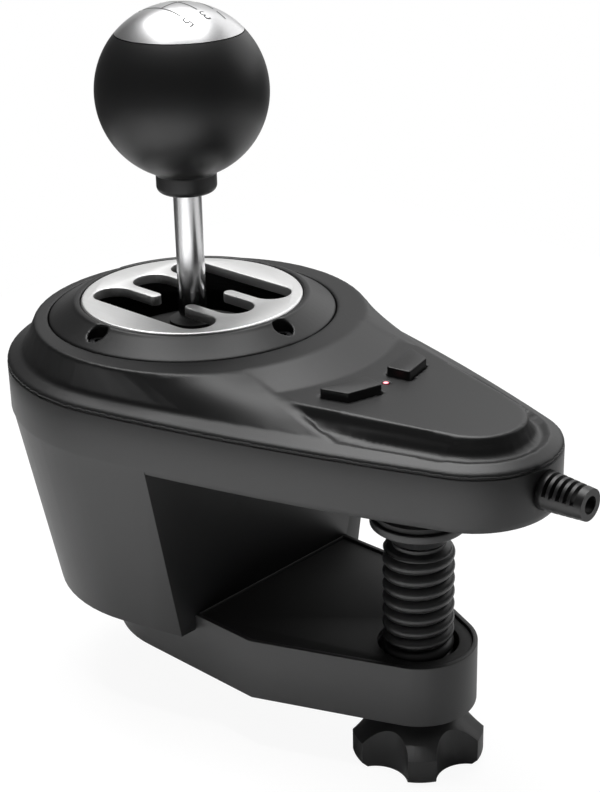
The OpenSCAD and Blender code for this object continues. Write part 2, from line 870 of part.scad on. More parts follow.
module button_switches() {
  color([0.3, 0.3, 0.3])
    place()
      both_sides()
        translate([button_x - button_d / 2 - 1, button_inner + button_w / 2, -button_board_depth]) {
          translate([-switch_w / 2, -switch_w / 2, 0])
            cube([switch_w, switch_w, switch_h * 0.7]);
          cylinder(r = switch_w / 4, h = switch_h);
        }
}

module board_screws() {
  color([0.6, 0.6, 0.62])
    place() {
      for (p = main_posts)
        translate([p[0], p[1], -main_board_depth])
          screw(board_t + 2);
      both_sides()
        for (p = board_posts)
          translate([p[0], p[1], -button_board_depth - board_t])
            rotate([180, 0, 0])
              screw(board_t + 2);
    }
}

module pivot_frame() {
  base = floor_top - pivot_depth;
  color([0.5, 0.5, 0.52])
    place()
      translate([0, 0, -pivot_depth])
        difference() {
          union() {
            translate([-frame_x, -frame_w / 2, -base])
              cube([2 * frame_x - 4, frame_w, frame_t]);
            for (s = [-1, 1])
              translate([s > 0 ? cheek_in : -cheek_out, -cheek_w / 2, -base])
                cube([cheek_t, cheek_w, base]);
            rotate([0, 90, 0])
              for (x = [cheek_in, -cheek_out])
                translate([0, 0, x])
                  cylinder(r = cheek_w / 2, h = cheek_t);
          }
          rotate([0, 90, 0])
            cylinder(r = pin_r + pin_play, h = 4 * cheek_out, center = true);
          both_sides()
            for (p = frame_screw_places)
              translate([p[0], p[1], -base - over])
                cylinder(r = m3_r + seat_gap, h = frame_t + 2 * over);
        }
}

module frame_screws() {
  color([0.2, 0.2, 0.21])
    place()
      both_sides()
        for (p = frame_screw_places)
          translate([p[0], p[1], -floor_top + frame_t])
            screw(frame_t + wall + 3);
}

// Shallow bowl round the pivot, with notches that hold the lever in each gear row
module detent_block() {
  base = floor_top - pivot_depth - frame_t;
  notch_r = plunger_r / 2;
  notch_depth = 0.5;
  bowl_steps = 8;
  bowl_turn = acos(bowl_rim / bowl_r) / bowl_steps;
  color([0.85, 0.83, 0.78])
    place()
      translate([0, 0, -pivot_depth])
        difference() {
          rotate_extrude()
            polygon(concat([[0, -base], [bowl_block_r, -base], [bowl_block_r, -bowl_rim]],
              [for (k = [bowl_steps : -1 : 0]) bowl_r * [sin(k * bowl_turn), -cos(k * bowl_turn)]]));
          for (a = [-shift_angle, 0, shift_angle])
            rotate([0, a, 0])
              translate([0, 0, -bowl_r])
                cube([2 * notch_r, 6 * notch_r, 2 * notch_depth], center = true);
        }
}

module select_sensor() {
  color([0.15, 0.15, 0.17])
    place()
      translate([-cheek_out, 0, -pivot_depth])
        rotate([0, -90, 0])
          difference() {
            translate([-sensor_w / 2, -sensor_w / 2, 0])
              cube([sensor_w, sensor_w, sensor_t]);
            translate([0, 0, -over])
              cylinder(r = pin_r + pin_play, h = sensor_t - 1);
          }
}

module gimbal_ring() {
  color([0.6, 0.6, 0.62])
    place()
      translate([0, 0, -pivot_depth])
        difference() {
          translate([-ring_out_x, -ring_out_y, -ring_h / 2])
            cube([2 * ring_out_x, 2 * ring_out_y, ring_h]);
          translate([-ring_in_x, -ring_in_y, -ring_h])
            cube([2 * ring_in_x, 2 * ring_in_y, 2 * ring_h]);
          rotate([90, 0, 0])
            cylinder(r = pin_r + pin_play, h = 4 * ring_out_y, center = true);
          rotate([0, 90, 0])
            cylinder(r = pin_r + seat_gap / 5, h = 4 * ring_out_x, center = true);
        }
}

module trunnion_pins() {
  color([0.75, 0.75, 0.77])
    place()
      translate([0, 0, -pivot_depth])
        rotate([0, 90, 0]) {
          translate([0, 0, ring_in_x])
            cylinder(r = pin_r, h = cheek_out - ring_in_x);
          translate([0, 0, -cheek_out - sensor_t + 2])
            cylinder(r = pin_r, h = cheek_out + sensor_t - 2 - ring_in_x);
        }
}

module shift_sensor() {
  color([0.15, 0.15, 0.17])
    place()
      translate([0, ring_out_y, -pivot_depth])
        rotate([-90, 0, 0])
          difference() {
            translate([-sensor_w / 2, -ring_h / 2, 0])
              cube([sensor_w, ring_h, sensor_t]);
            translate([0, 0, -over])
              cylinder(r = pin_r + pin_play, h = sensor_t - 1);
          }
}

module lever_hub() {
  color([0.3, 0.3, 0.32])
    place()
      translate([0, 0, -pivot_depth])
        difference() {
          union() {
            translate([-hub_d / 2, -hub_w / 2, -hub_bottom])
              cube([hub_d, hub_w, hub_top + hub_bottom]);
            translate([0, 0, -stem_len])
              cylinder(r = stem_r, h = stem_len);
          }
          rotate([90, 0, 0])
            cylinder(r = pin_r + seat_gap / 5, h = 2 * hub_w, center = true);
          translate([0, 0, pin_r + 1])
            cylinder(r = shaft_d / 2 + seat_gap / 5, h = hub_top);
          translate([0, 0, -stem_len - over])
            cylinder(r = plunger_r + seat_gap, h = stem_len - pin_r - 1);
        }
}

module shift_pin() {
  color([0.75, 0.75, 0.77])
    place()
      translate([0, 0, -pivot_depth])
        rotate([-90, 0, 0])
          translate([0, 0, -ring_out_y])
            cylinder(r = pin_r, h = 2 * ring_out_y + sensor_t - 2);
}

module lever_shaft() {
  bottom = -pivot_depth + pin_r + 1;
  color([0.85, 0.85, 0.86])
    place()
      translate([0, 0, bottom])
        cylinder(r = shaft_d / 2, h = knob_z + sleeve_up / 2 - bottom);
}

// Cap that turns about the pivot and keeps dust out of the gate
module dust_dome() {
  color([0.05, 0.05, 0.055])
    place()
      translate([0, 0, -pivot_depth])
        difference() {
          union() {
            intersection() {
              difference() {
                sphere(dust_r, $fn = 96);
                sphere(dust_r - dust_t, $fn = 96);
              }
              cylinder(r1 = 0, r2 = 2 * dust_r * tan(dust_angle), h = 2 * dust_r, $fn = 96);
            }
            translate([0, 0, dust_r - dust_t - dust_collar_h])
              cylinder(r = dust_collar_r, h = 2 * dust_collar_h);
          }
          cylinder(r = shaft_d / 2 + seat_gap / 5, h = 2 * dust_r);
        }
}

module detent_plunger() {
  tip = bowl_r - slide_gap;
  color([0.8, 0.8, 0.82])
    place()
      translate([0, 0, -pivot_depth - tip + plunger_r]) {
        sphere(plunger_r);
        cylinder(r = plunger_r, h = plunger_len);
      }
}

// Coil spring as one wire swept along a helix, standing on height 0
module coil(radius, wire, turns, length, label) {
  rings = turns * coil_steps;
  climb = (length - 2 * wire) / rings;
  points = [for (i = [0 : rings]) for (j = [0 : coil_sides - 1])
    let (a = i * 360 / coil_steps, b = j * 360 / coil_sides)
    [(radius + wire * cos(b)) * cos(a), (radius + wire * cos(b)) * sin(a), wire + i * climb + wire * sin(b)]];
  sides = [for (i = [0 : rings - 1]) for (j = [0 : coil_sides - 1])
    let (k = (j + 1) % coil_sides, p = i * coil_sides, q = p + coil_sides)
    each [[p + j, q + j, q + k], [p + j, q + k, p + k]]];
  ends = [[for (j = [0 : coil_sides - 1]) j],
          [for (j = [coil_sides - 1 : -1 : 0]) rings * coil_sides + j]];
  centres = [for (i = [0 : rings])
    [radius * cos(i * 360 / coil_steps), radius * sin(i * 360 / coil_steps), i * climb]];
  gaps = [for (i = [0 : rings - coil_steps]) norm(centres[i + coil_steps] - centres[i]) - 2 * wire];
  echo(spring = label, least_gap = min(gaps));
  polyhedron(points, concat(sides, ends));
}

module detent_spring() {
  color([0.7, 0.7, 0.72])
    place()
      translate([0, 0, -pivot_depth - pin_r - 1.2 - detent_coil_len])
        coil(detent_coil_r, detent_wire, detent_turns, detent_coil_len, "detent");
}

// Pair of springs under one side of the gimbal ring
module centring_pair() {
  base = floor_top - frame_t;
  length = base - pivot_depth - ring_h / 2 - 2 * seat_gap;
  color([0.7, 0.7, 0.72])
    place()
      for (s = [-1, 1])
        translate([s * centring_x, centring_y, -base + seat_gap])
          coil(centring_r, centring_wire, centring_turns, length, "centring");
}

module centring_spring_left() {
  centring_pair();
}

module centring_spring_right() {
  mirror([0, 1, 0])
    centring_pair();
}

module knob_ball() {
  color([0.03, 0.03, 0.03])
    place()
      translate([0, 0, knob_z])
        difference() {
          union() {
            sphere(knob_d / 2, $fn = 128);
            translate([0, 0, collar_z - knob_z])
              cylinder(r = collar_d / 2, h = knob_z - collar_z);
          }
          translate([0, 0, cap_rim])
            cylinder(r = knob_d, h = knob_d);
          translate([0, 0, collar_z - knob_z - over])
            cylinder(r = shaft_d / 2 + seat_gap, h = knob_z - collar_z + 2 * over);
          translate([0, 0, -sleeve_down])
            cylinder(r = sleeve_r + seat_gap, h = sleeve_down + cap_rim + over);
        }
}

// Brass sleeve that screws the ball onto the shaft
module knob_insert() {
  color([0.7, 0.55, 0.25])
    place()
      translate([0, 0, knob_z - sleeve_down])
        difference() {
          cylinder(r = sleeve_r, h = sleeve_down + sleeve_up);
          translate([0, 0, -over])
            cylinder(r = shaft_d / 2 + seat_gap / 5, h = sleeve_down + sleeve_up / 2 + 2 * over);
        }
}

module knob_cap() {
  color([0.75, 0.75, 0.76])
    place()
      translate([0, 0, knob_z])
        intersection() {
          sphere(knob_d / 2, $fn = 128);
          translate([0, 0, cap_rim + seat_gap])
            cylinder(r = knob_d, h = knob_d);
        }
}

// Push button with a flange that keeps it under the panel, and a nub over its switch
module push_button() {
  flange_top = panel_at(button_x) + wall + slide_gap;
  flange_t = 0.8;
  nub_x = button_x - button_d / 2 - 1;
  nub_end = button_board_depth - switch_h - button_travel - slide_gap;
  color([0.12, 0.12, 0.13])
    place() {
      difference() {
        translate([0, 0, -flange_top - flange_t])
          linear_extrude(flange_top + flange_t)
            button_plan();
        on_panel()
          translate([0, -round_r, button_h])
            cube([2 * tail_x, 2 * round_r, panel_depth + 10]);
      }
      translate([0, 0, -flange_top - flange_t])
        linear_extrude(flange_t)
          button_plan(0.8);
      translate([nub_x, button_inner + button_w / 2, -nub_end])
        cylinder(r = 1.5, h = nub_end - flange_top);
    }
}

module button_left() {
  push_button();
}

module button_right() {
  mirror([0, 1, 0])
    push_button();
}

module pressure_pad() {
  bottom = pad_depth + pad_rubber_t + pad_t;
  color([0.08, 0.08, 0.09])
    place()
      translate([screw_x, 0, 0])
        difference() {
          union() {
            translate([0, 0, -bottom])
              cylinder(r = pad_d / 2, h = pad_t);
            translate([0, 0, -bottom - pad_cone])
              cylinder(r1 = neck_r, r2 = pad_d / 2 - 1, h = pad_cone);
          }
          translate([0, 0, -bottom - pad_cone - over])
            cylinder(r = tip_pin_r + pin_play, h = tip_pin_len + slide_gap + over);
        }
}

module pad_rubber() {
  color([0.04, 0.04, 0.045])
    place()
      translate([screw_x, 0, -pad_depth - pad_rubber_t])
        cylinder(r = pad_d / 2 - 1, h = pad_rubber_t);
}

module clamp_screw() {
  color([0.07, 0.07, 0.075])
    place()
      translate([screw_x, 0, 0]) {
        translate([0, 0, -screw_top])
          cylinder(r = neck_r, h = neck_len - slide_gap);
        translate([0, 0, -screw_top])
          cylinder(r = tip_pin_r, h = neck_len + tip_pin_len);
        translate([0, 0, -screw_top - 1.5])
          cylinder(r1 = screw_d / 2, r2 = neck_r, h = 1.5);
        translate([0, 0, -star_top + over])
          cylinder(r = screw_d / 2, h = star_top - over - screw_top - 1.5);
        translate([0, 0, -star_top - screw_socket])
          cylinder(r = screw_d / 4, h = screw_socket + 1);
      }
}

module star_knob() {
  color([0.08, 0.08, 0.09])
    place()
      translate([screw_x, 0, -star_top - star_h])
        rotate(star_view)
          difference() {
            intersection() {
              linear_extrude(star_h)
                difference() {
                  circle(star_r, $fn = 96);
                  for (k = [0 : star_lobes - 1])
                    rotate((k + 0.5) * 360 / star_lobes)
                      translate([star_scallop_x, 0])
                        circle(star_scallop_r);
                }
              // Top that falls away to the lobes
              rotate_extrude()
                polygon([[0, 0], [star_r - 1.5, 0], [star_r, 1.5], [star_r, star_h - 6],
                  [star_neck_r, star_h], [0, star_h]]);
            }
            translate([0, 0, star_h - screw_socket - over])
              cylinder(r = screw_d / 4 + seat_gap, h = screw_socket + 2 * over);
          }
}

top_shell();
lower_shell();
gate_bezel();
gate_plate();
bezel_screws();
housing_screws();
clamp_arm();
arm_insert();
arm_screws();
clamp_nut();
jaw_rubber();
strain_relief();
light_lens();
main_board();
button_board();
button_switches();
board_screws();
pivot_frame();
frame_screws();
detent_block();
centring_spring_left();
centring_spring_right();
select_sensor();
gimbal_ring();
trunnion_pins();
shift_sensor();
lever_hub();
shift_pin();
lever_shaft();
dust_dome();
detent_plunger();
detent_spring();
knob_ball();
knob_insert();
knob_cap();
button_left();
button_right();
pressure_pad();
pad_rubber();
clamp_screw();
star_knob();
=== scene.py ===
# %% [markdown]
# # A gear shifter for racing games
# The shifter clamps to a desk. A ball knob on a chromed lever moves in an H-shaped gate, in a black
# moulded housing with a leg, an arm and a coarse clamp screw. The construction comes from CAD, as a
# frame of named nodes on moving bodies. This lesson dresses that frame: it rounds the moulded edges,
# turns the round pieces afresh, cuts the screw's thread and gives every surface its finish.

# %% Load the frame
import bpy
import math
from mathutils import Matrix, Vector


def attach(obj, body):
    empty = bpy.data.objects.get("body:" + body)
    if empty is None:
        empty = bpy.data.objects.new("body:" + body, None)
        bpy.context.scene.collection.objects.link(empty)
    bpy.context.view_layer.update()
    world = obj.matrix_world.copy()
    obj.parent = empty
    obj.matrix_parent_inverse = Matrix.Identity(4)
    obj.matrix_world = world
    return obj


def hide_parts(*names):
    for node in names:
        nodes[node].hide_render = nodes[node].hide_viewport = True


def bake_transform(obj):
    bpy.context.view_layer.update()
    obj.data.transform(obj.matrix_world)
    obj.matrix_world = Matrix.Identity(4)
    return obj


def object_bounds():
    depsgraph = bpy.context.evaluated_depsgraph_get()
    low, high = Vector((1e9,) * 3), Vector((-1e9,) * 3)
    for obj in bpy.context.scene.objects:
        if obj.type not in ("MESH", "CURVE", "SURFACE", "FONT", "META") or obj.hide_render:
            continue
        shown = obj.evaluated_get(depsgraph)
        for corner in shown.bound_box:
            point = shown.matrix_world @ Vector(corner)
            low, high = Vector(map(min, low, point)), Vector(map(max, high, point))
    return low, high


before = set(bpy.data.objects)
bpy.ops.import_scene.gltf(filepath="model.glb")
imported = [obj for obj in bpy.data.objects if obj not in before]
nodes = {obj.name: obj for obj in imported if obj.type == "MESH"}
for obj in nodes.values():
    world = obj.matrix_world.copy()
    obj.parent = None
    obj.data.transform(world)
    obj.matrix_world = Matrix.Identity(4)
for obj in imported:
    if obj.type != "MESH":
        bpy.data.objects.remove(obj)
cad_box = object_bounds()
scene = bpy.context.scene
MM = 0.001
print("CAD nodes:", len(nodes), "box:", [tuple(round(v, 4) for v in c) for c in cad_box])

# %% [markdown]
# ## Where things are
# The frame's origin lies on the clamp's upper jaw, on the axis of the clamp screw. The lever stands
# 85.9 mm nearer to the driver, and the gate plate's top lies 33.5 mm above the jaw. Sizes below are
# in millimetres from the gate's centre, as a maker would dimension them, and `at` changes them to metres.

# %% Places
LEVER_X, GATE_Z = -85.9, 33.5


def at(x, y, z):
    """A point given in millimetres from the gate's centre, in the frame's metres."""
    return Vector(((x + LEVER_X) * MM, y * MM, (z + GATE_Z) * MM))


GATE = at(0, 0, 0)
SCREW_AXIS = at(-LEVER_X, 0, 0)

# %% [markdown]
# ## The camera
# The view is from the driver's right, beyond the tail and a little above it, with a fairly long lens.
# The camera's axes are worked out from its azimuth, elevation and small roll.

# %% Camera
FOCAL_PIXELS, PICTURE_HEIGHT, SENSOR = 1700, 792, 36
azimuth, elevation, roll = (math.radians(v) for v in (43.531, 23.359, -1.361))
back = Vector((math.sin(azimuth) * math.cos(elevation), -math.cos(azimuth) * math.cos(elevation),
               math.sin(elevation)))
right = Vector((math.cos(azimuth), math.sin(azimuth), 0))
up = back.cross(right)
right, up = (math.cos(roll) * right + math.sin(roll) * up, math.cos(roll) * up - math.sin(roll) * right)
camera_data = bpy.data.cameras.new("camera")
camera_data.sensor_width = SENSOR
camera_data.lens = FOCAL_PIXELS * SENSOR / PICTURE_HEIGHT
camera = bpy.data.objects.new("camera", camera_data)
scene.collection.objects.link(camera)
facing = Matrix((right, up, back)).transposed().to_4x4()
camera.matrix_world = Matrix.Translation(at(345.17, -318.61, 168.86)) @ facing
scene.camera = camera
print("camera at", tuple(round(v, 3) for v in camera.location), "lens", round(camera_data.lens, 1))

# %% [markdown]
# ## Shader maths in plain Python
# A finish is a small graph of nodes. Wrapping a socket in a class with operators lets the graph be
# written as an expression, and one method adds any other node from its type, settings and inputs.

# %% Sockets as numbers


class Wire:
    """A node's output socket that can be used in sums."""

    def __init__(self, tree, socket):
        self.tree, self.socket = tree, socket

    def node(self, kind, settings=None, **inputs):
        return add_node(self.tree, kind, settings, **inputs)

    def sum(self, operation, a, b):
        return self.node("ShaderNodeMath", {"operation": operation}, _0=a, _1=b)

    def __add__(self, other):
        return self.sum("ADD", self, other)

    __radd__ = __add__

    def __mul__(self, other):
        return self.sum("MULTIPLY", self, other)

    __rmul__ = __mul__

    def __sub__(self, other):
        return self.sum("SUBTRACT", self, other)

    def __rsub__(self, other):
        return self.sum("SUBTRACT", other, self)


def add_node(tree, kind, settings=None, out=0, **inputs):
    """Adds a node; settings are set first, and inputs are given by socket name, or by number as _0, _1."""
    node = tree.nodes.new(kind)
    for key, value in (settings or {}).items():
        setattr(node, key, value)
    for key, value in inputs.items():
        socket = node.inputs[int(key[1:])] if key[0] == "_" else node.inputs[key.replace("_", " ")]
        if isinstance(value, Wire):
            tree.links.new(value.socket, socket)
        else:
            socket.default_value = value
    return Wire(tree, node.outputs[out])


def new_finish(name, **fixed):
    """A material with one Principled shader, its fixed sockets set; returns material, tree, shader, place."""
    material = bpy.data.materials.new(name)
    material.use_nodes = True
    tree = material.node_tree
    shader = tree.nodes["Principled BSDF"]
    for key, value in fixed.items():
        shader.inputs[key.replace("_", " ")].default_value = value
    place = add_node(tree, "ShaderNodeTexCoord", out=3)
    return material, tree, shader, place


def noise(place, scale, detail=2.0, rough=0.5):
    return place.node("ShaderNodeTexNoise", None, Vector=place, Scale=scale, Detail=detail, Roughness=rough)


def ramp(value, low, high):
    """0 where the value is at low, 1 where it is at high, with a soft passage between."""
    return value.node("ShaderNodeMapRange", {"interpolation_type": "SMOOTHSTEP"},
                      Value=value, From_Min=low, From_Max=high)


def blend(tree, factor, a, b):
    """A colour between a and b."""
    node = tree.nodes.new("ShaderNodeMix")
    node.data_type = "RGBA"
    tree.links.new(factor.socket, node.inputs["Factor"])
    node.inputs["A"].default_value = (*a, 1)
    node.inputs["B"].default_value = (*b, 1)
    return Wire(tree, node.outputs["Result"])


def connect(shader, **wires):
    for key, wire in wires.items():
        wire.tree.links.new(wire.socket, shader.inputs[key.replace("_", " ")])


def bump(height, strength, distance):
    return height.node("ShaderNodeBump", None, Height=height, Strength=strength, Distance=distance)


# %% [markdown]
# ## Moulded black plastic
# The housing, arm, bezel, buttons and knob are moulded in black with a fine spark-eroded grain. The
# grain scatters light just enough for a satin sheen. Fine noise drives a bump for the grain, and
# broad noise varies the roughness a little, as handling and the mould's flow do.

# %% Plastics and rubber


def moulded(name, dark, light, rough, grain, height, spread=0.06):
    material, tree, shader, place = new_finish(name)
    broad = noise(place, 38, 3)
    fine = noise(place, grain, 2, 0.6)
    connect(shader, Base_Color=blend(tree, broad * 0.6 + fine * 0.4, dark, light),
            Roughness=broad * spread + fine * 0.05 + (rough - spread / 2),
            Normal=bump(fine, 0.35, height))
    return material


HOUSING = moulded("housing_plastic", (0.006, 0.006, 0.0062), (0.010, 0.010, 0.0103), 0.4, 2600, 0.00004)
BEZEL = moulded("bezel_plastic", (0.006, 0.006, 0.0062), (0.009, 0.009, 0.0093), 0.38, 2600, 0.00004)
ARM = moulded("arm_plastic", (0.020, 0.020, 0.0204), (0.027, 0.027, 0.0275), 0.42, 2400, 0.00005)
BUTTON = moulded("button_plastic", (0.005, 0.005, 0.0052), (0.008, 0.008, 0.0083), 0.36, 3200, 0.00002)
KNOB = moulded("knob_soft_touch", (0.006, 0.006, 0.0062), (0.010, 0.010, 0.0105), 0.4, 3000, 0.00002, 0.03)
CLAMP = moulded("clamp_plastic", (0.018, 0.018, 0.0184), (0.025, 0.025, 0.0255), 0.36, 2200, 0.00004)
RUBBER = moulded("rubber", (0.009, 0.009, 0.009), (0.015, 0.015, 0.015), 0.62, 1800, 0.00006)
DUST = moulded("dust_cover", (0.003, 0.003, 0.003), (0.005, 0.005, 0.005), 0.6, 2200, 0.00003)
RELIEF = moulded("relief_rubber", (0.004, 0.004, 0.0042), (0.007, 0.007, 0.0073), 0.4, 1800, 0.00005)
HUB = moulded("hub_nylon", (0.05, 0.05, 0.052), (0.08, 0.08, 0.083), 0.5, 1800, 0.00004)
SENSOR = moulded("sensor_plastic", (0.02, 0.02, 0.022), (0.03, 0.03, 0.033), 0.5, 2400, 0.00002)
ACETAL = moulded("acetal", (0.72, 0.70, 0.65), (0.80, 0.78, 0.73), 0.35, 900, 0.00002)
BOARD = moulded("board_lacquer", (0.012, 0.09, 0.04), (0.02, 0.13, 0.06), 0.3, 700, 0.00002)

# %% [markdown]
# ## Metals
# The gate plate is satin aluminium, brushed straight along the lanes. The lever is chromed, the cap
# is fine-blasted, and the hidden mechanism is plain machined steel and brass. Brushing is noise that
# is stretched along one axis by a Mapping node.

# %% Metal finishes


def metal(name, dark, light, rough, spread, stretch, height):
    material, tree, shader, place = new_finish(name, Metallic=1.0)
    lines = noise(place.node("ShaderNodeMapping", None, Vector=place, Scale=stretch), 1.0, 3, 0.6)
    broad = noise(place, 45, 2)
    connect(shader, Base_Color=blend(tree, lines, dark, light),
            Roughness=lines * spread + broad * (spread / 2) + (rough - spread * 0.75),
            Normal=bump(lines, 0.2, height))
    return material


GATE_METAL = metal("gate_aluminium", (0.74, 0.74, 0.735), (0.90, 0.90, 0.895), 0.44, 0.12,
                   (120, 5200, 2600), 0.00001)
CHROME = metal("lever_chrome", (0.80, 0.80, 0.81), (0.84, 0.84, 0.85), 0.2, 0.05, (900, 900, 60), 0.000002)
CAP = metal("cap_silver", (0.66, 0.66, 0.665), (0.76, 0.76, 0.765), 0.34, 0.08, (2600, 2600, 2600), 0.00001)
STEEL = metal("machined_steel", (0.42, 0.42, 0.43), (0.56, 0.56, 0.57), 0.36, 0.14,
              (300, 3000, 3000), 0.00001)
BLACK_STEEL = metal("black_steel", (0.05, 0.05, 0.052), (0.09, 0.09, 0.093), 0.36, 0.12,
                    (1500, 1500, 1500), 0.00001)
BRASS = metal("brass", (0.55, 0.40, 0.16), (0.68, 0.52, 0.24), 0.32, 0.12, (1500, 1500, 400), 0.00001)

# %% [markdown]
# ## Ink and light
# The gear numbers on the cap are a dark printed ink. The little light between the buttons is a red
# lens over a lamp: its middle glows, and its rim stays dark.

# %% Ink and lens
INK = moulded("cap_ink", (0.05, 0.05, 0.052), (0.09, 0.09, 0.092), 0.5, 3000, 0.00001)
LENS, lens_tree, lens_shader, lens_place = new_finish("light_lens_red", Roughness=0.2, Emission_Strength=3.0)
lens_corners = [Vector(corner) for corner in nodes["light_lens"].bound_box]
lens_top = sum(lens_corners, Vector()) / 8 + Vector((0, 0, nodes["light_lens"].dimensions.z / 2))
off_axis = lens_place.node("ShaderNodeVectorMath", {"operation": "DISTANCE"}, out=1,
                           _0=lens_place, _1=lens_top)
GLOW_EDGE, GLOW_CORE = 0.9, 0.35
core = ramp(off_axis, GLOW_EDGE * MM, GLOW_CORE * MM)
connect(lens_shader, Base_Color=blend(lens_tree, core, (0.05, 0.002, 0.004), (0.6, 0.05, 0.07)),
        Emission_Color=blend(lens_tree, core, (0.035, 0.001, 0.003), (1.0, 0.35, 0.4)))
print("finishes:", len(bpy.data.materials))

# %% [markdown]
# ## Working by hand, in code
# Every operator acts on what is selected, so each piece starts with everything deselected. A finished
# piece gets its material, rides on the body that it belongs to, and stands for its CAD node.

# %% Helpers for pieces


def clear_selection():
    if bpy.context.object and bpy.context.object.mode != "OBJECT":
        bpy.ops.object.mode_set(mode="OBJECT")
    bpy.ops.object.select_all(action="DESELECT")


def hold(piece):
    """Selects one object alone and makes it active."""
    clear_selection()
    piece.select_set(True)
    bpy.context.view_layer.objects.active = piece


def apply_modifier(piece, kind, **settings):
    hold(piece)
    modifier = piece.modifiers.new(kind.lower(), kind)
    for key, value in settings.items():
        setattr(modifier, key, value)
    bpy.ops.object.modifier_apply(modifier=modifier.name)


def dress(piece, material, body, slot, *stands_for):
    piece.data.materials.clear()
    piece.data.materials.append(material)
    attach(piece, body)
    if stands_for:
        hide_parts(*stands_for)
    print(piece.name, "-", len(piece.data.polygons), "faces on", body)
    return piece


# %% [markdown]
# ## Moulded edges
# No moulded or machined edge is truly sharp: its small radius catches a line of light, and that line
# is most of what the eye reads as real. The CAD solids have sharp edges. So a copy of a node is
# merged, its flat facets are joined, and a Bevel modifier rounds every edge over an angle. The top
# shell and the bezel are curved all over, where a bevel gets tangled in the facets. Those two get an
# even mesh from a voxel Remesh instead, and a light Smooth rounds their edges.

# %% Rounded copies of CAD nodes


def copy_of(node, name):
    """A free copy of a CAD node with its doubled points merged."""
    piece = nodes[node].copy()
    piece.data = nodes[node].data.copy()
    for key in list(piece.keys()):
        del piece[key]
    piece.name = piece.data.name = name
    piece.parent = None
    scene.collection.objects.link(piece)
    hold(piece)
    bpy.ops.object.mode_set(mode="EDIT")
    bpy.ops.mesh.select_all(action="SELECT")
    bpy.ops.mesh.remove_doubles(threshold=0.00001)
    bpy.ops.object.mode_set(mode="OBJECT")
    return piece


def rounded(node, name, width, material, body, slot, segments=3, angle=28, smooth=32):
    piece = copy_of(node, name)
    bpy.ops.object.mode_set(mode="EDIT")
    bpy.ops.mesh.dissolve_limited(angle_limit=math.radians(0.6))
    bpy.ops.object.mode_set(mode="OBJECT")
    apply_modifier(piece, "BEVEL", width=width * MM, segments=segments, limit_method="ANGLE",
                   angle_limit=math.radians(angle), miter_outer="MITER_ARC", harden_normals=False)
    hold(piece)
    bpy.ops.object.shade_smooth_by_angle(angle=math.radians(smooth))
    return dress(piece, material, body, slot, node)


def softened(node, name, grid, passes, material, body, slot):
    """A copy with an even mesh, smoothed so that every edge gets a small radius."""
    piece = copy_of(node, name)
    apply_modifier(piece, "REMESH", mode="VOXEL", voxel_size=grid * MM)
    apply_modifier(piece, "SMOOTH", factor=0.5, iterations=passes)
    hold(piece)
    bpy.ops.object.shade_smooth()
    return dress(piece, material, body, slot, node)


top = softened("top_shell", "top_cover", 0.6, 2, HOUSING, "housing", "shell")
rounded("lower_shell", "lower_housing", 0.5, HOUSING, "housing", "shell")
softened("gate_bezel", "bezel_ring", 0.4, 2, BEZEL, "housing", "bezel")
rounded("gate_plate", "gate_face", 0.4, GATE_METAL, "housing", "gate")
rounded("clamp_arm", "arm_casting", 0.8, ARM, "housing", "shell")
rounded("arm_insert", "arm_mat", 0.3, RUBBER, "housing", "rubber")
rounded("button_left", "left_push", 0.35, BUTTON, "left_button", "button")
rounded("button_right", "right_push", 0.35, BUTTON, "right_button", "button")
rounded("star_knob", "star_grip", 1.1, CLAMP, "screw", "clamp", 4, 30, 40)
rounded("pressure_pad", "pad_foot", 0.4, CLAMP, "pad", "clamp")
rounded("bezel_screws", "bezel_fasteners", 0.15, BLACK_STEEL, "housing", "fastener", 2)

# %% [markdown]
# ## Sanding the top shell
# The dome's side and the wings are ruled surfaces, so their CAD mesh is faceted and shows streaks in
# the light. A mould maker would rub them smooth. The points between the edges are chosen by their
# place, and smoothed alone, so that the edges stay where they are. The wings' ridges get a few strokes.

# %% Where the top shell's edges run
CROWN_X, CLEAR_OF_CROWN = 3.3, 49.6
WING_ROOT, WING_TIP = (45.4, 24.9, -4.4), (82.0, 28.8, -13.4)
RIDGE_SLOPE = 0.1066


def place_of(vertex):
    """A point's place in millimetres from the gate's centre, both sides of the shell counted alike."""
    return vertex.co.x / MM - LEVER_X, abs(vertex.co.y) / MM, vertex.co.z / MM - GATE_Z


def ridge_y(x):
    """Distance of a wing's ridge from the middle plane."""
    return WING_ROOT[1] + (x - WING_ROOT[0]) * RIDGE_SLOPE


def on_flank(vertex):
    """True on the dome's sloping side and the wings' flanks, clear of the edges that border them."""
    x, y, z = place_of(vertex)
    clear_of_ridge = x < 40 or y > ridge_y(max(x, WING_ROOT[0])) + 1.3
    outside = math.hypot(x - CROWN_X, y) > CLEAR_OF_CROWN and clear_of_ridge
    return outside and -12.7 < z < -4.9 and 0.3 < vertex.normal.z < 0.98


def on_ridge(vertex):
    """True along the edge of a wing, from its root on the crown to its tip at the crease."""
    place, root, tip = Vector(place_of(vertex)), Vector(WING_ROOT), Vector(WING_TIP)
    share = (place - root).dot(tip - root) / (tip - root).length_squared
    return 0.05 < share < 1.03 and (place - root.lerp(tip, share)).length < 1.5 and place.z > -13.6


# %% Sand


def choose(piece, chosen):
    """Opens a piece for editing with the chosen points selected and nothing else."""
    hold(piece)
    bpy.ops.object.mode_set(mode="EDIT")
    bpy.ops.mesh.select_mode(type="VERT")
    bpy.ops.mesh.select_all(action="DESELECT")
    bpy.ops.object.mode_set(mode="OBJECT")
    for vertex in piece.data.vertices:
        vertex.select = chosen(vertex)
    print(piece.name, "has", sum(vertex.select for vertex in piece.data.vertices), "points chosen")
    bpy.ops.object.mode_set(mode="EDIT")


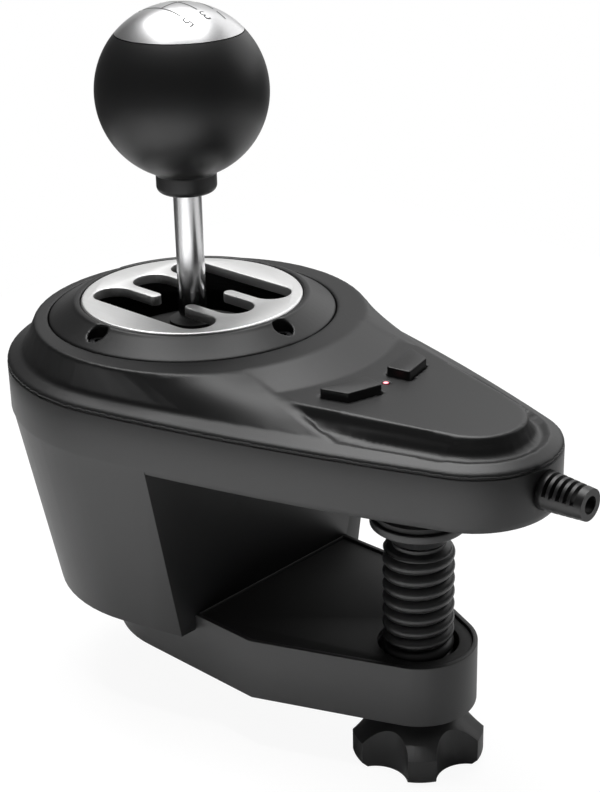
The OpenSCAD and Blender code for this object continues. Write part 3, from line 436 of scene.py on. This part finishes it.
def sand(piece, chosen, strokes):
    """Smooths the chosen points alone, so that the edges round them stay where they are."""
    choose(piece, chosen)
    bpy.ops.mesh.vertices_smooth(factor=0.5, repeat=strokes)
    bpy.ops.object.mode_set(mode="OBJECT")


sand(top, on_flank, 150)
sand(top, on_ridge, 12)

# %% [markdown]
# ## The hollow beside the panel
# The button panel stands up from a hollow that runs round it to the shoulder. A line of points along
# its middle is pulled down, and proportional editing lets the walls follow. It is done in four small
# steps that start further and further from the wings, so that the hollow deepens gently.

# %% Carve the hollow
PANEL_FORE_X, PANEL_FORE_R = 36, 33
PANEL_TAIL_X, PANEL_TAIL_R, CREASE_TAIL_R = 103.2, 14.2, 19.4
SIDE_X, SIDE_Y = 0.28, 0.96
CREASE_X, CREASE_Y, CREASE_SLOPE = 78.4, 30.0, 0.345
CARVE_STARTS, CARVE_STEP, CARVE_REACH = (76, 80, 84, 88), 0.3, 2.6


def in_cove(vertex, start):
    """True along the middle of the hollow, from a distance behind the lever to the tail's end."""
    x, y, z = place_of(vertex)
    if vertex.normal.z < 0.3 or not -14.8 < z < -9.5 or x < start:
        return False
    at_end = math.hypot(x - PANEL_TAIL_X, y)
    if x > PANEL_TAIL_X + 0.29 * y:
        from_panel, from_shoulder = at_end - PANEL_TAIL_R, CREASE_TAIL_R - at_end
    else:
        from_panel = SIDE_X * (x - PANEL_FORE_X) + SIDE_Y * y - PANEL_FORE_R
        from_shoulder = SIDE_Y * (CREASE_Y - CREASE_SLOPE * (x - CREASE_X) - y)
        if x < 83:
            from_shoulder = min(from_shoulder, ridge_y(x) - y)
    return from_panel > 0 and 0.45 < from_panel / (from_panel + max(from_shoulder, 0.01)) < 0.7


def carve(piece, chosen, depth, reach):
    """Pulls the chosen points down and lets their surroundings follow softly."""
    choose(piece, chosen)
    bpy.ops.transform.translate(
        value=(0, 0, -depth * MM), use_proportional_edit=True, use_proportional_connected=True,
        proportional_edit_falloff="SMOOTH", proportional_size=reach * MM)
    bpy.ops.object.mode_set(mode="OBJECT")


for start in CARVE_STARTS:
    carve(top, lambda vertex: in_cove(vertex, start), CARVE_STEP, CARVE_REACH)

# %% [markdown]
# ## Strain relief
# The relief's upper slits gape where it has been bent, and reach down to the cord's bore. One box is
# repeated along the relief by Array, and Boolean cuts the row out of it.

# %% Relief with open slits
RELIEF_END, RELIEF_Z, SLIT_PITCH = 127.0, -23.0, 2.0


def slit_boxes():
    clear_selection()
    bpy.ops.mesh.primitive_cube_add(size=1, location=at(RELIEF_END + 2.4, 0, RELIEF_Z + 3.6))
    boxes = bpy.context.object
    boxes.scale = (1.1 * MM, 14 * MM, 6 * MM)
    bpy.ops.object.transform_apply(location=True, rotation=True, scale=True)
    apply_modifier(boxes, "ARRAY", count=5, use_relative_offset=False, use_constant_offset=True,
                   constant_offset_displace=(SLIT_PITCH * MM, 0, 0))
    return boxes


relief = copy_of("strain_relief", "cord_relief")
boxes = slit_boxes()
apply_modifier(relief, "BOOLEAN", object=boxes, operation="DIFFERENCE", solver="EXACT")
bpy.data.objects.remove(boxes)
hold(relief)
bpy.ops.object.shade_smooth_by_angle(angle=math.radians(32))
dress(relief, RELIEF, "housing", "rubber", "strain_relief")

# %% [markdown]
# ## Turned pieces
# The ball, its cap and the lever are bodies of revolution. On the real object they come off a lathe
# or a round mould. A profile is drawn point by point with extrude, and Spin sweeps it round the axis.

# %% A profile swept round an axis


def drawn(name, points):
    """Draws a chain of edges through the points, from one merged point on, and stays in edit mode."""
    clear_selection()
    bpy.ops.mesh.primitive_plane_add(size=0.001, location=(0, 0, 0))
    piece = bpy.context.object
    piece.name = piece.data.name = name
    bpy.ops.object.mode_set(mode="EDIT")
    bpy.ops.mesh.select_all(action="SELECT")
    bpy.ops.mesh.merge(type="CENTER")
    bpy.ops.transform.translate(value=points[0])
    for start, end in zip(points, points[1:]):
        bpy.ops.mesh.extrude_vertices_move(TRANSFORM_OT_translate={"value": end - start})
    return piece


def turned(name, axis, profile, steps=96):
    """Spins a profile of (radius, height) pairs, in millimetres from the gate's top, round an axis."""
    piece = drawn(name, [Vector((axis.x + r * MM, axis.y, GATE.z + z * MM)) for r, z in profile])
    bpy.ops.mesh.select_all(action="SELECT")
    bpy.ops.mesh.spin(steps=steps, angle=math.tau, center=axis, axis=(0, 0, 1))
    bpy.ops.mesh.select_all(action="SELECT")
    bpy.ops.mesh.remove_doubles(threshold=0.000002)
    bpy.ops.mesh.normals_make_consistent(inside=False)
    bpy.ops.object.mode_set(mode="OBJECT")
    bpy.ops.object.shade_smooth_by_angle(angle=math.radians(30))
    return piece


def arc(radius, height, start, end, count, middle=0.0):
    """Points of an arc round (middle, height), in degrees from the horizontal."""
    angles = [math.radians(start + (end - start) * i / count) for i in range(count + 1)]
    return [(middle + radius * math.cos(a), height + radius * math.sin(a)) for a in angles]


# %% [markdown]
# ## Ball knob, cap and lever
# The ball is soft-touch black with a short collar. The cap carries the sphere on, past a hairline
# groove. The collar's lower edge has a generous radius, and the lever's rod runs up into the ball.

# %% Knob and lever
BALL_R, BALL_Z, RIM, COLLAR_R, COLLAR_Z = 24.5, 59.8, 16.6, 8.7, 31.0
rim_angle = math.degrees(math.asin(RIM / BALL_R))
foot_angle = -math.degrees(math.acos((COLLAR_R + 0.5) / BALL_R))
ball_profile = ([(4.15, COLLAR_Z + 0.9)] + arc(1.0, COLLAR_Z + 1.0, 235, 270, 4, COLLAR_R - 2.4)
                + arc(2.0, COLLAR_Z + 2.0, -90, 0, 8, COLLAR_R - 2.0)
                + [(COLLAR_R, BALL_Z + BALL_R * math.sin(math.radians(foot_angle)) - 0.7)]
                + arc(BALL_R, BALL_Z, foot_angle, rim_angle - 0.3, 56)
                + [(17.3, BALL_Z + RIM - 0.45), (0, BALL_Z + RIM - 0.45)])
dress(turned("ball_grip", GATE, ball_profile, 128), KNOB, "lever", "knob", "knob_ball")
cap_profile = ([(0, BALL_Z + RIM - 0.4), (17.2, BALL_Z + RIM - 0.4)]
               + arc(BALL_R, BALL_Z, rim_angle + 0.4, 90, 28))
cap = dress(turned("cap_face", GATE, cap_profile, 128), CAP, "lever", "cap", "knob_cap")
SHAFT_R, SHAFT_FOOT, SHAFT_TOP, CHAMFER = 4.1, -56.4, 65.8, 0.4
shaft_profile = [(0, SHAFT_FOOT), (SHAFT_R - CHAMFER, SHAFT_FOOT), (SHAFT_R, SHAFT_FOOT + CHAMFER),
                 (SHAFT_R, SHAFT_TOP - CHAMFER), (SHAFT_R - CHAMFER, SHAFT_TOP), (0, SHAFT_TOP)]
dress(turned("lever_rod", GATE, shaft_profile, 64), CHROME, "lever", "chrome", "lever_shaft")

# %% [markdown]
# ## The gear pattern on the cap
# Thin printed lines show the gate's lanes, with a plain number at the end of each. The driver looks
# along the lanes, so the numbers' tops point to the tail. They are drawn flat above the cap, cut
# finely enough to bend, and laid on its curve with Shrinkwrap.

# %% Printed gear pattern
ABOVE_CAP, INK_LIFT = 95, 0.00005


def lay_on_cap(piece):
    apply_modifier(piece, "SHRINKWRAP", target=cap, wrap_method="PROJECT", use_project_z=True,
                   use_negative_direction=True, use_positive_direction=False, offset=INK_LIFT)
    return dress(piece, INK, "lever", "cap")


def printed_line(name, x0, y0, x1, y1, width=0.45):
    clear_selection()
    middle = at((x0 + x1) / 2, (y0 + y1) / 2, ABOVE_CAP)
    length_x, length_y = max(abs(x1 - x0), width), max(abs(y1 - y0), width)
    bpy.ops.mesh.primitive_grid_add(x_subdivisions=24 if length_x > width else 2,
                                    y_subdivisions=24 if length_y > width else 2, size=1, location=middle)
    piece = bpy.context.object
    piece.name = piece.data.name = name
    piece.scale = (length_x * MM, length_y * MM, 1)
    bpy.ops.object.transform_apply(location=True, rotation=True, scale=True)
    return lay_on_cap(piece)


def printed_number(digit, x, y, height=3.6):
    clear_selection()
    bpy.ops.object.text_add(location=at(x, y, ABOVE_CAP), rotation=(0, 0, -math.pi / 2))
    text = bpy.context.object
    text.data.body = str(digit)
    text.data.size = height * MM * 1.4
    text.data.align_x, text.data.align_y = "CENTER", "CENTER"
    bpy.ops.object.convert(target="MESH")
    piece = bpy.context.object
    piece.name = piece.data.name = "gear_number_%d" % digit
    bpy.ops.object.transform_apply(location=True, rotation=True, scale=True)
    bpy.ops.object.mode_set(mode="EDIT")
    bpy.ops.mesh.select_all(action="SELECT")
    bpy.ops.mesh.quads_convert_to_tris()
    bpy.ops.mesh.subdivide(number_cuts=2)
    bpy.ops.object.mode_set(mode="OBJECT")
    return lay_on_cap(piece)


LANE_LINES, LANE_REACH, NUMBER_REACH, CROSS_REACH = (6.2, 0.0, -6.2), 7.4, 10.2, 6.4
for row, lane in enumerate(LANE_LINES):
    printed_line("lane_line_%d" % row, -LANE_REACH, lane, LANE_REACH, lane)
    printed_number(2 * row + 1, NUMBER_REACH, lane)
    printed_number(2 * row + 2, -NUMBER_REACH, lane)
printed_line("cross_line", 0, -CROSS_REACH, 0, CROSS_REACH)

# %% [markdown]
# ## The clamp screw
# The screw has a coarse, rounded, right-hand thread. One groove and crest are drawn as a profile one
# pitch tall, and the Screw modifier winds it up the axis. Bisect then trims both ends flat and closes
# them. A turned neck and shank finish the screw.

# %% Wind the thread
PITCH, CREST, ROOT = 4.0, 10.0, 8.0
THREAD_TOP, THREAD_FOOT = -53.6, -105.4
PROFILE_STEPS, CREST_FULLNESS = 16, 0.55


def thread(name):
    profile = []
    for i in range(PROFILE_STEPS + 1):
        t = i / PROFILE_STEPS
        swell = max(0.0, math.sin(math.pi * t)) ** CREST_FULLNESS
        height = GATE.z + (THREAD_FOOT - PITCH + PITCH * t) * MM
        profile.append(Vector(((ROOT + (CREST - ROOT) * swell) * MM, 0, height)))
    piece = drawn(name, profile)
    bpy.ops.object.mode_set(mode="OBJECT")
    turns = math.ceil((THREAD_TOP - THREAD_FOOT) / PITCH) + 2
    apply_modifier(piece, "SCREW", axis="Z", angle=math.tau, screw_offset=PITCH * MM, iterations=turns,
                   steps=56, render_steps=56, use_merge_vertices=True, merge_threshold=0.00001,
                   use_normal_calculate=True)
    hold(piece)
    bpy.ops.object.mode_set(mode="EDIT")
    for height, side in ((THREAD_FOOT, -1), (THREAD_TOP, 1)):
        bpy.ops.mesh.select_all(action="SELECT")
        bpy.ops.mesh.bisect(plane_co=(0, 0, GATE.z + height * MM), plane_no=(0, 0, side), use_fill=True,
                            clear_outer=True)
    bpy.ops.mesh.select_all(action="SELECT")
    bpy.ops.mesh.normals_make_consistent(inside=False)
    bpy.ops.object.mode_set(mode="OBJECT")
    bpy.ops.object.shade_smooth_by_angle(angle=math.radians(50))
    return piece


dress(thread("screw_thread"), CLAMP, "screw", "clamp", "clamp_screw")
neck_profile = ([(0, -54.2), (8.4, -54.2)] + arc(1.4, -53.9, 0, 90, 6, 7.9)[0:4]
                + [(7.4, -52.3), (7.4, -51.4), (7.0, -51.1), (5.0, -51.1), (5.0, -48.1), (0, -48.1)])
dress(turned("screw_neck", SCREW_AXIS, neck_profile, 64), CLAMP, "screw", "clamp")
shank_profile = [(0, -114), (5.0, -114), (5.0, -105.3), (0, -105.3)]
dress(turned("screw_shank", SCREW_AXIS, shank_profile, 48), CLAMP, "screw", "clamp")

# %% [markdown]
# ## Centring springs
# Two pairs of coil springs stand on the frame and press on the gimbal ring from below, one pair on
# each side. Each is a copy of its CAD node with a steel finish, in the node's place.

# %% Springs between frame and ring
for side in ("left", "right"):
    spring = copy_of("centring_spring_" + side, "lane_spring_" + side)
    spring.data.materials.clear()
    spring.data.materials.append(STEEL)
    heights = [vertex.co.z for vertex in spring.data.vertices]
    middle = sum((vertex.co.y for vertex in spring.data.vertices), 0.0) / len(heights)
    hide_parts("centring_spring_" + side)
    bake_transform(spring)
    print(spring.name, "-", len(spring.data.polygons), "faces between housing and ring")

# %% [markdown]
# ## Finishes on the CAD nodes that stay
# The nodes that keep their CAD shape sit inside or underneath. Each still gets a real finish, because
# the part is also looked at from below, and taken apart.

# %% Remaining nodes
STAYING = (
    (DUST, ["dust_dome"]),
    (RUBBER, ["jaw_rubber", "pad_rubber"]),
    (LENS, ["light_lens"]),
    (BLACK_STEEL, ["housing_screws", "arm_screws", "board_screws", "frame_screws", "clamp_nut"]),
    (BRASS, ["knob_insert"]),
    (BOARD, ["main_board", "button_board"]),
    (SENSOR, ["button_switches", "select_sensor", "shift_sensor"]),
    (STEEL, ["pivot_frame", "gimbal_ring", "trunnion_pins", "shift_pin", "detent_plunger", "detent_spring"]),
    (HUB, ["lever_hub"]),
    (ACETAL, ["detent_block"]),
)
for material, names in STAYING:
    for name in names:
        nodes[name].data.materials.clear()
        nodes[name].data.materials.append(material)
    print(material.name, "on", ", ".join(names))

# %% [markdown]
# ## Studio
# Black satin plastic shows little but what it reflects, so the studio draws the shape. A bright
# overhead soft box, a little to the left, lights the shoulders and the wings' flanks. A white backdrop
# behind turns the flat panel grey and gives rim light. The camera's side is left dark, and so the
# walls that face it stay nearly black. The paper floor below is lit from above and fills the sides.

# %% Paper floor
UNDER_PART, PAPER_GLOW, GLOW_SHARE = 0.0006, 1.08, 0.86
floor_z = cad_box[0].z - UNDER_PART
clear_selection()
bpy.ops.mesh.primitive_plane_add(size=1.0, location=(0.1, -0.1, floor_z))
floor = bpy.context.object
floor.name = floor.data.name = "floor"
paper, paper_tree, paper_shader, paper_place = new_finish("paper", Roughness=0.9)
paper_tone = blend(paper_tree, noise(paper_place, 3, 2), (0.86, 0.86, 0.86), (0.90, 0.90, 0.90))
connect(paper_shader, Base_Color=paper_tone)
glow_shader = add_node(paper_tree, "ShaderNodeEmission", None, Color=(1, 1, 1, 1), Strength=PAPER_GLOW)
rays = add_node(paper_tree, "ShaderNodeLightPath", out=0)
white = add_node(paper_tree, "ShaderNodeMixShader", None, _0=rays * GLOW_SHARE,
                 _1=Wire(paper_tree, paper_shader.outputs[0]), _2=glow_shader)
paper_tree.links.new(white.socket, paper_tree.nodes["Material Output"].inputs["Surface"])
floor.data.materials.append(paper)

# %% Soft boxes


def soft_box(name, place, target, width, height, power):
    data = bpy.data.lights.new(name, "AREA")
    data.shape, data.size, data.size_y, data.energy = "RECTANGLE", width, height, power
    lamp = bpy.data.objects.new(name, data)
    scene.collection.objects.link(lamp)
    lamp.location = place
    lamp.rotation_euler = (Vector(target) - Vector(place)).to_track_quat("-Z", "Y").to_euler()


MIDDLE = Vector((-0.05, 0, 0.02))
soft_box("key_box", MIDDLE + Vector((-0.28, 0.2, 0.95)), MIDDLE, 0.75, 0.75, 11)
soft_box("back_box", MIDDLE + Vector((0.05, 0.95, 0.5)), MIDDLE, 1.2, 0.7, 3)

# %% A spot on the paper
spot_data = bpy.data.lights.new("paper_spot", "SPOT")
spot_data.energy, spot_data.shadow_soft_size = 80, 0.06
spot_data.spot_size, spot_data.spot_blend = math.radians(27), 0.5
spot = bpy.data.objects.new("paper_spot", spot_data)
scene.collection.objects.link(spot)
spot.location = (0.04, -0.3, 1.1)

# %% [markdown]
# ## Backdrop
# To the camera the world is plain white. To the object it is bright at the back, pale overhead and dim
# elsewhere. Direction alone sets that: how far a ray points away from the camera, and how far up.

# %% Backdrop
world = bpy.data.worlds.new("studio")
scene.world = world
world.use_nodes = True
sky = world.node_tree
sky.nodes["Background"].inputs["Color"].default_value = (1, 1, 1, 1)
split = sky.nodes.new("ShaderNodeSeparateXYZ")
sky.links.new(add_node(sky, "ShaderNodeTexCoord", out=0).socket, split.inputs[0])
east, north, height = (Wire(sky, socket) for socket in split.outputs)
beyond = east * -0.62 + north * 0.78
studio = ramp(beyond, 0.8, 0.96) * 0.4 + ramp(height, 0.6, 0.95) * 0.25 + 0.08
seen = add_node(sky, "ShaderNodeLightPath", out=0)
strength = seen + (1 - seen) * studio
sky.links.new(strength.socket, sky.nodes["Background"].inputs["Strength"])
scene.view_settings.view_transform = "Standard"
print("lamps:", len(bpy.data.lights), "sky:", len(sky.nodes), "nodes")
